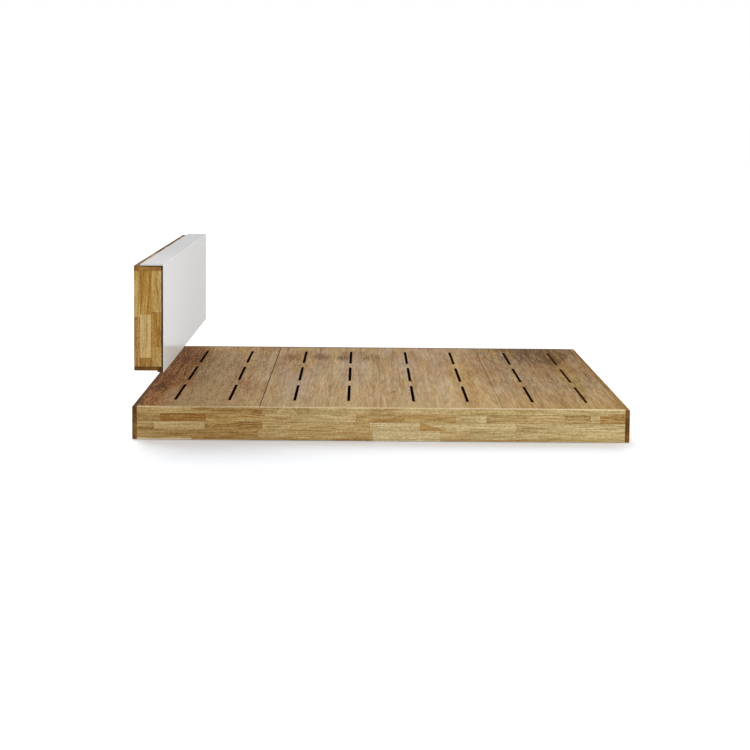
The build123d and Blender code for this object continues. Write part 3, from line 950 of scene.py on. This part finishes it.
def lacquer_finish():
    """White lacquer, warmer and duller toward its lower edge, with painted shade to the far end and on its
    dusty top, painted light at the top's near end and a painted highlight on the fold.
    """
    finish, tree, shader = new_finish("white_lacquer")
    spot = on_object(tree)
    across, height = split(tree, spot)[1:]
    # A shade warmer and duller in clouds, most toward the lower edge.
    lower_edge = spread_out(tree, height, front_low.z + lower_tint_height, front_low.z)
    lower_tint = reckon(tree, "MULTIPLY", reckon(tree, "ADD", lower_edge, lower_tint_least),
                     drawn_noise(tree, spot, **lacquer_clouds))
    ahead, aside, upward = split(tree, place(tree, "ShaderNodeNewGeometry").outputs["Normal"])
    top_dust_and_shade = spread_out(tree, upward, *top_dust_and_shade_range)
    fold_highlight = spread_out(tree, reckon(tree, "MINIMUM", ahead, upward), *fold_highlight_range)
    # Painted shade: greyer toward the far end.
    far_shade = spread_out(tree, across, front_low.y, front_high.y)
    near_end = spread_out(tree, across, near_light_from, front_low.y)
    shade = lay_over(tree, far_shade, lacquer_white, lacquer_far_shade)
    shade = lay_over(tree, lower_tint, shade, lacquer_lower_tint)
    # Painted shade on the top, and painted light at its near end.
    shade = lay_over(tree, top_dust_and_shade, shade, lay_over(tree, near_end, lacquer_top_dust_and_shade, lacquer_near_light))
    # Painted highlight along the rounded fold.
    shade = lay_over(tree, fold_highlight, shade, lacquer_fold_highlight)
    wiping = drawn_noise(tree, turned(tree, spot, "y"), **lacquer_wiping)
    roughness = add_share(tree, lacquer_roughness, wiping, wiping_rougher)
    roughness = add_share(tree, roughness, top_dust_and_shade, dust_rougher)
    roughness = add_share(tree, roughness, lower_tint, lower_tint_rougher)
    dress(tree, shader, shade, roughness, lacquer_specular)
    relief_on(tree, shader, drawn_noise(tree, spot, **lacquer_peel), *lacquer_relief)
    return finish


lid_finishes = [lacquer_finish()]
print("finish:", lid_finishes[0].name)

# %% Finish: the lid's lining
# The lining's dark colour is a stain and also painted shade for the gap between lid and case.
lining_dark_shade = [(0.0, colour(58, 43, 28)), (0.5, colour(38, 28, 18)), (1.0, colour(24, 17, 11))]
lining_seed = 0.37
lining_tone = 0.5
lining_reaches = {"Clouds": 0.3, "Flecks": 0.2}
lining_roughness = 0.5
lining_specular = 0.0
fibres_rougher = 0.2
fibres_relief = (0.4 * mm, 0.3)


def lining_shade_finish():
    """Dark stained wood with no gloss, its darkness also painted shade for the gap to the case."""
    finish, tree, shader = new_finish("lid_lining_shade")
    wood = grain_of(tree, turned(tree, on_object(tree), "y"), lining_seed)
    tone = stirred(tree, lining_tone, wood, lining_reaches)
    roughness = add_share(tree, lining_roughness, wood["Fibres"], fibres_rougher)
    dress(tree, shader, ramp(tree, tone, lining_dark_shade), roughness, lining_specular)
    relief_on(tree, shader, wood["Fibres"], *fibres_relief)
    return finish


lid_finishes.append(lining_shade_finish())
print("finish:", lid_finishes[1].name)

# %% Model the lid
lid_round = 2.5 * mm
round_segments = 8
lid_ease = 0.8 * mm
lid_ease_segments = 2
# The lining's edge shows at the ends as a dark line of painted shade.
lining_shade_edge = 3 * mm
corner_angle = math.radians(60)


def is_fold(edge):
    """The long outer corner of the lid."""
    return all(abs(v.co.x - front_high.x) < mm and abs(v.co.z - top_high.z) < mm for v in edge.verts)


lid = block("lid_skin", front_low, (front_high.x, front_high.y, top_high.z))
bpy.ops.object.mode_set(mode="EDIT")
saw(lid, unit[2] * top_low.z, unit[2])
saw(lid, unit[0] * (front_low.x + lining_shade_edge), unit[0],
    lambda middle: abs(middle.y) > front_high.y - mm and middle.z < top_low.z)
pick(lid, "FACE", lambda face: face.normal.x < -facing and face.calc_center_median().z > top_low.z)
bpy.ops.mesh.extrude_region_move(TRANSFORM_OT_translate={"value": (top_low.x - front_low.x, 0.0, 0.0)})
pick(lid, "EDGE", is_fold)
bpy.ops.mesh.bevel(offset=lid_round, segments=round_segments, affect="EDGES")
pick(lid, "EDGE", lambda edge: edge.calc_face_angle(0.0) > corner_angle)
bpy.ops.mesh.bevel(offset=lid_ease, segments=lid_ease_segments, affect="EDGES")
bpy.ops.object.mode_set(mode="OBJECT")
settle_normals(lid)
print("lid:", len(lid.data.polygons), "faces")

# %% Finish the lid
def is_lined(face):
    """The inner faces of the lid, behind the front and under the top, and the lining's edge at the ends, all
    dark lining that is painted shade as well.
    """
    behind = face.normal.x < -facing and face.center.x > front_low.x - mm
    beneath = face.normal.z < -facing and face.center.z > top_low.z - mm
    at_end = abs(face.normal.y) > facing and face.center.z < top_low.z
    return behind or beneath or (at_end and face.center.x < front_low.x + lining_shade_edge)


for finish in lid_finishes:
    lid.data.materials.append(finish)
lined = [int(is_lined(face)) for face in lid.data.polygons]
lid.data.polygons.foreach_set("material_index", lined)
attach(lid, "lid")
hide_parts("lid_front_panel", "lid_top_panel")
print("lid:", sum(lined), "faces of it are lining")

# %% [markdown]
# ## The deck
# The four deck panels keep their imported shape, with its slots and eased edges. They are veneered: leaves cut
# one after the other from the same flitch are opened like a book, so the figure mirrors from leaf to leaf.
# In the nodes that is a ping-pong along x, with the grain along y and a new seed for each pair of leaves.
# The veneer is mottled more than striped, with short strokes and swirls, red near the head and golden in
# places, and darker near the head with painted shade under the headboard. A few soft dark knots show at the
# far side. The slots and the rims of the slots and seams are painted nearly black as shade, browner at the
# foot. One seam is tight and shows faintly, as a fainter painted shade line.

# %% The deck's slots and seams
panel_low, panel_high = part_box("deck_panel_1")
last_low, last_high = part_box("deck_panel_4")
panel_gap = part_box("deck_panel_2")[0].x - panel_high.x
panel_pitch = panel_high.x - panel_low.x + panel_gap
open_seam = panel_high.x + panel_gap / 2
tight_seam = last_low.x - panel_gap / 2
foot_seam = last_high.x
seam_rim = 2.4 * mm
tight_seam_shows = 0.35
slot_row = 120 * mm
slot_pitch = 457 * mm
slot_half_length = 172.5 * mm
slot_half_width = 5.5 * mm
slot_rim = 1.8 * mm


def slot_rims(tree, travel, y):
    """1 in the slots and on their rims, and 0 away from them. Travel counts from the first panel's edge."""
    from_edge = reckon(tree, "PINGPONG", travel, panel_pitch / 2)
    aside = reckon(tree, "SUBTRACT", from_edge, panel_pitch / 2 - slot_row)
    along = reckon(tree, "MAXIMUM", reckon(tree, "PINGPONG", y, slot_pitch / 2),
                   reckon(tree, "SUBTRACT", reckon(tree, "ABSOLUTE", y), slot_pitch))
    past_round = reckon(tree, "SUBTRACT", along, slot_half_length - slot_half_width)
    reach = length(tree, join(tree, aside, reckon(tree, "MAXIMUM", past_round, 0.0), 0.0))
    return spread_out(tree, reach, slot_half_width + slot_rim, slot_half_width + slot_rim / 2)


def seam_line(tree, x, seam):
    """1 at a seam across the bed and on its rims, and 0 away from it."""
    reach = reckon(tree, "ABSOLUTE", reckon(tree, "SUBTRACT", x, seam))
    return spread_out(tree, reach, seam_rim, seam_rim / 2)


def shaded_rims(tree, x, y, travel):
    """1 where the slots and seams get painted shade, and 0 elsewhere."""
    rim_shade = slot_rims(tree, travel, y)
    for seam in (open_seam, foot_seam):
        rim_shade = reckon(tree, "MAXIMUM", rim_shade, seam_line(tree, x, seam))
    faint = reckon(tree, "MULTIPLY", seam_line(tree, x, tight_seam), tight_seam_shows)
    return reckon(tree, "MAXIMUM", rim_shade, faint)


print("deck: seams at", round(open_seam, 3), round(tight_seam, 3), round(foot_seam, 3))

# %% [markdown]
# ## The deck's marks
# The knots, clouds and blushes of this veneer are listed one by one. A mark is the place of its middle,
# towards the foot and towards the far side of the bed, and its size, all in millimetres, and how much darker
# it makes the wood, or paler with a minus sign. A blush is written the same way, and makes the wood redder.
# They could be painted, but numbers are easier to move. All of them are torn a little by a noise, so that
# none is a disc.

# %% Lay the deck's marks
deck_marks = [
    (-451, 443, 80, 0.30), (-293, 451, 80, 0.36), (-183, 456, 66, 0.36), (-31, 462, 80, 0.28),
    (60, -414, 14, 0.35), (257, -361, 12, 0.30), (883, 358, 80, 0.20), (830, 580, 260, 0.20),
    (-1020, -330, 75, 0.24), (-940, -550, 150, -0.26), (-607, -370, 45, 0.20), (-1000, 400, 110, 0.08),
    (-620, 620, 130, 0.16), (-400, 580, 220, 0.06), (-720, -60, 200, -0.10), (-780, -420, 120, -0.12),
    (900, -472, 80, 0.10), (300, -330, 180, -0.12), (600, 200, 160, 0.14), (560, -190, 90, 0.16)]
deck_blushes = [(-910, -260, 120, 0.9), (-640, -270, 80, 1.0), (-955, -510, 120, 0.9),
                (490, 110, 100, 0.6), (515, 460, 80, 0.7)]
mark_stretch = 0.5
mark_core = 0.1
torn_scale = 22.0
torn_reach = 35 * mm


def torn_place(tree, spot):
    """The place on the deck, torn a little by a noise."""
    ragged = place(tree, "ShaderNodeTexNoise", {"Vector": spot, "Scale": torn_scale, "Detail": 3.0})
    torn = reckon_vector(tree, "MULTIPLY_ADD", ragged.outputs["Color"],
                         (2 * torn_reach, 2 * torn_reach, 0.0), spot)
    return reckon_vector(tree, "SUBTRACT", torn, (torn_reach, torn_reach, 0.0))


def deck_mark(tree, spot, footward, farward, size, strength):
    """A soft mark about a place on the deck, drawn out along the grain."""
    middle = (-footward * mm, -mark_stretch * farward * mm, 0.0)
    reach = length(tree, reckon_vector(tree, "MULTIPLY_ADD", spot, (1.0, mark_stretch, 0.0), middle))
    return reckon(tree, "MULTIPLY", spread_out(tree, reach, size * mm, mark_core * size * mm), strength)


print("deck:", len(deck_marks), "marks and", len(deck_blushes), "blushes")

# %% [markdown]
# ## The deck's veneer
# Three ramps colour the veneer: a greyish brown, a golden and a red one. One tone runs through all three,
# and zones along the bed and noises on the leaves decide how much of each shows.

# %% Deck oak: the leaves and the zones
leaves_per_panel = 4
leaf_width = panel_pitch / leaves_per_panel
leaves_apart = 3.7
leaf_noises = {
    "streaks": {"along": 1.4, "across": 28.0, "detail": 5.0, "roughness": 0.62, "distortion": 0.3},
    "strokes": {"along": 10.0, "across": 140.0, "detail": 2.0, "roughness": 0.65, "stretch": (0.3, 0.7)},
    "specks": {"along": 30.0, "across": 110.0, "detail": 2.0, "roughness": 0.6, "stretch": (0.3, 0.7)},
    "mottle": {"along": 3.2, "across": 16.0, "detail": 3.0, "roughness": 0.6, "distortion": 1.0},
    "swirls": {"along": 6.0, "across": 38.0, "detail": 3.0, "roughness": 0.6, "distortion": 1.5},
    "blush": {"along": 1.8, "across": 9.0, "detail": 3.0, "distortion": 0.5, "stretch": (0.35, 0.65)},
    "honey": {"along": 1.3, "across": 12.0, "detail": 3.0, "distortion": 0.3, "stretch": (0.38, 0.62)}}
deck_blotch = {"along": 3.5, "across": 2.5, "detail": 2.0, "roughness": 0.5}
zones_along = {"headward": (-0.82, -1.08), "reddest": (-0.80, -0.97), "ruddy": (-0.38, -0.72),
               "golden": (0.2, 0.5), "footward": (0.35, 0.85), "browner_rim_shade": (0.72, 0.84)}
near_zone = (-0.35, -0.75)


def leaf_effects(tree, spot, travel, y, z):
    """All noises of the veneer by name, on leaves that open like a book, and the grain's own effects."""
    leaf = reckon(tree, "PINGPONG", travel, leaf_width)
    pair = reckon(tree, "FLOOR", reckon(tree, "DIVIDE", travel, 2.0 * leaf_width))
    seed = place(tree, "ShaderNodeTexWhiteNoise", {"W": pair}, noise_dimensions="1D").outputs["Value"]
    book = join(tree, y, add_share(tree, leaf, pair, leaves_apart), z)
    effects = {name: drawn_noise(tree, book, **noise) for name, noise in leaf_noises.items()}
    effects["blotch"] = drawn_noise(tree, spot, **deck_blotch)
    effects.update(grain_of(tree, book, seed).items())
    return effects


print("deck:", len(leaf_noises), "noises on leaves of", round(leaf_width, 3), "m")

# %% Deck oak: how dark it is
deck_tone_level = 0.38
headward_shade_darker = 0.56
footward_darker = 0.235
far_foot_darker = 0.15
far_darker = 0.12
ruddy_paler = -0.075
speck_reach = 0.06
ruddy_coarser = 3.4
deck_reaches = {"streaks": 0.30, "mottle": 0.22, "blotch": 0.14, "swirls": 0.22, "strokes": 0.17,
                "Bands": 0.06, "Fibres": 0.10}


def deck_tone(tree, y, zones, effects, torn):
    """The deck's tone, from its zones, its noises and its marks."""
    # Darker near the head: painted shade under the headboard.
    tone = add_share(tree, deck_tone_level, zones["headward"], headward_shade_darker)
    tone = add_share(tree, tone, zones["footward"], add_share(tree, footward_darker, y, far_foot_darker))
    tone = add_share(tree, tone, y, far_darker)
    tone = add_share(tree, tone, zones["ruddy"], ruddy_paler)
    coarseness = add_share(tree, 1.0, zones["ruddy"], ruddy_coarser)
    tone = add_share(tree, tone, swing(tree, effects["specks"], speck_reach), coarseness)
    tone = stirred(tree, tone, effects, deck_reaches)
    for mark in deck_marks:
        tone = reckon(tree, "ADD", tone, deck_mark(tree, torn, *mark))
    return tone


print("deck: its tone is about", deck_tone_level)

# %% Deck oak: its colours
deck_grey = [(0.0, colour(216, 193, 163)), (0.25, colour(198, 174, 144)), (0.5, colour(179, 154, 125)),
             (0.75, colour(149, 123, 97)), (1.0, colour(106, 83, 64))]
deck_gold = [(0.0, colour(218, 191, 138)), (0.25, colour(201, 171, 116)), (0.5, colour(181, 150, 95)),
             (0.75, colour(149, 118, 70)), (1.0, colour(106, 80, 46))]
deck_red = [(0.0, colour(206, 168, 126)), (0.25, colour(190, 147, 102)), (0.5, colour(170, 122, 77)),
            (0.75, colour(141, 94, 54)), (1.0, colour(94, 60, 34))]
honey_gold = 0.6
zone_gold = 0.3
blush_red = 0.35
ruddy_red = 0.29
deck_pores_over = 0.3


def deck_shade(tree, y, tone, zones, effects, torn):
    """The veneer's colour: grey brown, with gold and red laid over it."""
    near = spread_out(tree, y, *near_zone)
    gold = reckon(tree, "MULTIPLY", reckon(tree, "MAXIMUM", effects["honey"], near), honey_gold)
    gold = add_share(tree, gold, reckon(tree, "MAXIMUM", zones["golden"], zones["ruddy"]), zone_gold)
    shade = lay_over(tree, gold, ramp(tree, tone, deck_grey), ramp(tree, tone, deck_gold))
    red = reckon(tree, "MULTIPLY", effects["blush"], blush_red)
    red = add_share(tree, red, zones["ruddy"], ruddy_red)
    red = reckon(tree, "MAXIMUM", red, zones["reddest"])
    for mark in deck_blushes:
        red = reckon(tree, "MAXIMUM", red, deck_mark(tree, torn, *mark))
    shade = lay_over(tree, red, shade, ramp(tree, tone, deck_red))
    return lay_over(tree, reckon(tree, "MULTIPLY", effects["Pores"], deck_pores_over), shade, pore_brown)


print("deck: ramps of", len(deck_grey), len(deck_gold), len(deck_red), "colours")

# %% Finish: deck oak
# Painted shade for the slots and the seam rims, browner toward the foot.
rim_shade_dark = colour(36, 16, 5)
rim_shade_brown = colour(84, 53, 23)
deck_roughness = 0.55


def deck_finish():
    """Oiled oak veneer, with painted shade in and round the slots and along the seams."""
    finish, tree, shader = new_finish("deck_oak_veneer")
    spot = on_object(tree)
    x, y, z = split(tree, spot)
    travel = reckon(tree, "SUBTRACT", x, panel_low.x)
    effects = leaf_effects(tree, spot, travel, y, z)
    zones = {name: spread_out(tree, x, *ends) for name, ends in zones_along.items()}
    torn = torn_place(tree, spot)
    tone = deck_tone(tree, y, zones, effects, torn)
    shade = deck_shade(tree, y, tone, zones, effects, torn)
    # Painted shade on the slots' walls and rims and along the seams.
    rim_shade = lay_over(tree, zones["browner_rim_shade"], rim_shade_dark, rim_shade_brown)
    shade = lay_over(tree, shaded_rims(tree, x, y, travel), shade, rim_shade)
    roughness = add_share(tree, deck_roughness, effects["Clouds"], clouds_rougher)
    dress(tree, shader, shade, roughness, oak_specular)
    relief_on(tree, shader, add_share(tree, effects["Fibres"], effects["Pores"], pores_sunk), *oak_relief)
    return finish


def finish_nodes(finish, *names):
    """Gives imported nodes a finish, in place of the plain one that they came with."""
    for name in names:
        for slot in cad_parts[name].material_slots:
            slot.material = finish
    print("finish", finish.name, "on", len(names), "nodes")


finish_nodes(deck_finish(), *[f"deck_panel_{index}" for index in range(1, 5)])

# %% [markdown]
# ## Planed softwood inside
# Ledgers, bearers, legs, blocks, cleats and the inside of the headboard are plain planed wood, paler and
# quieter than the oak. The same grain group draws them, with a ramp of their own, in strips that each have a
# seed. Pieces that hardly show don't need a finish each, so they share one, turned to the grain of each.
# Only the two cleats are cut from darker stock, so that they stand out from the panel beside them.

# %% Finish: planed wood
planed = [(0.0, colour(222, 199, 158)), (0.5, colour(204, 174, 127)), (1.0, colour(160, 124, 80))]
planed_strip = 94 * mm
strip_seed_step = 0.137
planed_tone = 0.42
planed_reaches = {"Bands": 0.28, "Clouds": 0.2, "Sand": 0.08, "Fibres": 0.12}
planed_knots_darker = 0.35
planed_roughness = 0.55
planed_specular = 0.25


def planed_finish(axis, name="wood", tone=planed_tone, first_strip=0.0):
    """Plain planed wood with its grain along an axis. Tone and first strip tell pieces apart."""
    finish, tree, shader = new_finish(f"planed_{name}_along_{axis}")
    spot = turned(tree, on_object(tree), axis)
    run, side, depth = split(tree, spot)
    strips = reckon(tree, "DIVIDE", reckon(tree, "ADD", side, depth), planed_strip)
    seed = add_share(tree, first_strip, reckon(tree, "FLOOR", strips), strip_seed_step)
    wood = grain_of(tree, spot, seed)
    tone = stirred(tree, tone, wood, planed_reaches)
    tone = add_share(tree, tone, wood["Knots"], planed_knots_darker)
    roughness = add_share(tree, planed_roughness, wood["Fibres"], fibres_rougher)
    dress(tree, shader, ramp(tree, tone, planed), roughness, planed_specular)
    relief_on(tree, shader, wood["Fibres"], *fibres_relief)
    return finish


blocks = [f"corner_block_{end}_{side}" for end in ("head", "foot") for side in ("near", "far")]
legs = [f"centre_leg_{index}" for index in range(1, 4)]
bearers = [f"cross_bearer_{index}" for index in range(1, 4)]
dividers = ["headboard_divider_1", "headboard_divider_2"]
finish_nodes(planed_finish("x"), "side_ledger_near", "side_ledger_far")
finish_nodes(planed_finish("y"), "head_ledger", "foot_ledger", "headboard_back_panel", *bearers)
finish_nodes(planed_finish("y", "hanging_cleat", tone=0.66, first_strip=3.1), "hanging_cleat")
finish_nodes(planed_finish("y", "wall_cleat", tone=0.78, first_strip=7.7), "wall_cleat")
finish_nodes(planed_finish("z"), "headboard_dowels", *blocks, *legs, *dividers)

# %% [markdown]
# ## Zinc and felt
# Bolts, screws and hinges are zinc plated, with a faint yellow bloom over a fine brushed sheen. The bumpers
# and glides are dark felt, matt and fibrous. A flat colour would pass from far off, but a noise or two is
# little work and holds up close by.

# %% Finish: zinc
zinc_grey = colour(196, 198, 200)
zinc_yellow = colour(204, 196, 170)
zinc_bloom = {"along": 90.0, "across": 90.0, "detail": 2.0}
zinc_brushing = {"along": 200.0, "across": 3000.0, "detail": 2.0}
zinc_roughness = 0.25
brushing_rougher = 0.25
zinc_relief = (0.05 * mm, 0.2)


def zinc_finish():
    """Brushed steel with a thin zinc plating."""
    finish, tree, shader = new_finish("zinc_steel")
    spot = on_object(tree)
    brushed = drawn_noise(tree, spot, **zinc_brushing)
    shade = lay_over(tree, drawn_noise(tree, spot, **zinc_bloom), zinc_grey, zinc_yellow)
    dress(tree, shader, shade, add_share(tree, zinc_roughness, brushed, brushing_rougher))
    shader.inputs["Metallic"].default_value = 1.0
    relief_on(tree, shader, brushed, *zinc_relief)
    return finish


finish_nodes(zinc_finish(), "corner_bolts", "threaded_inserts", "ledger_screws", "leg_bolts",
             "hinge_case_leaves", "hinge_lid_leaves", "hinge_pins")

# %% Finish: felt
felt_dark = colour(58, 55, 52)
felt_light = colour(88, 84, 79)
felt_fibres = {"along": 2500.0, "across": 2500.0, "detail": 3.0, "distortion": 1.5}
felt_roughness = 0.85
felt_fibres_rougher = 0.1
felt_relief = (0.4 * mm, 0.6)


def felt_finish():
    """Dark felt, with fibres that lie every way."""
    finish, tree, shader = new_finish("felt_pads")
    fibres = drawn_noise(tree, on_object(tree), **felt_fibres)
    shade = lay_over(tree, fibres, felt_dark, felt_light)
    dress(tree, shader, shade, add_share(tree, felt_roughness, fibres, felt_fibres_rougher))
    relief_on(tree, shader, fibres, *felt_relief)
    return finish


finish_nodes(felt_finish(), "floor_glides", "wall_bumpers", "lid_bumpers")
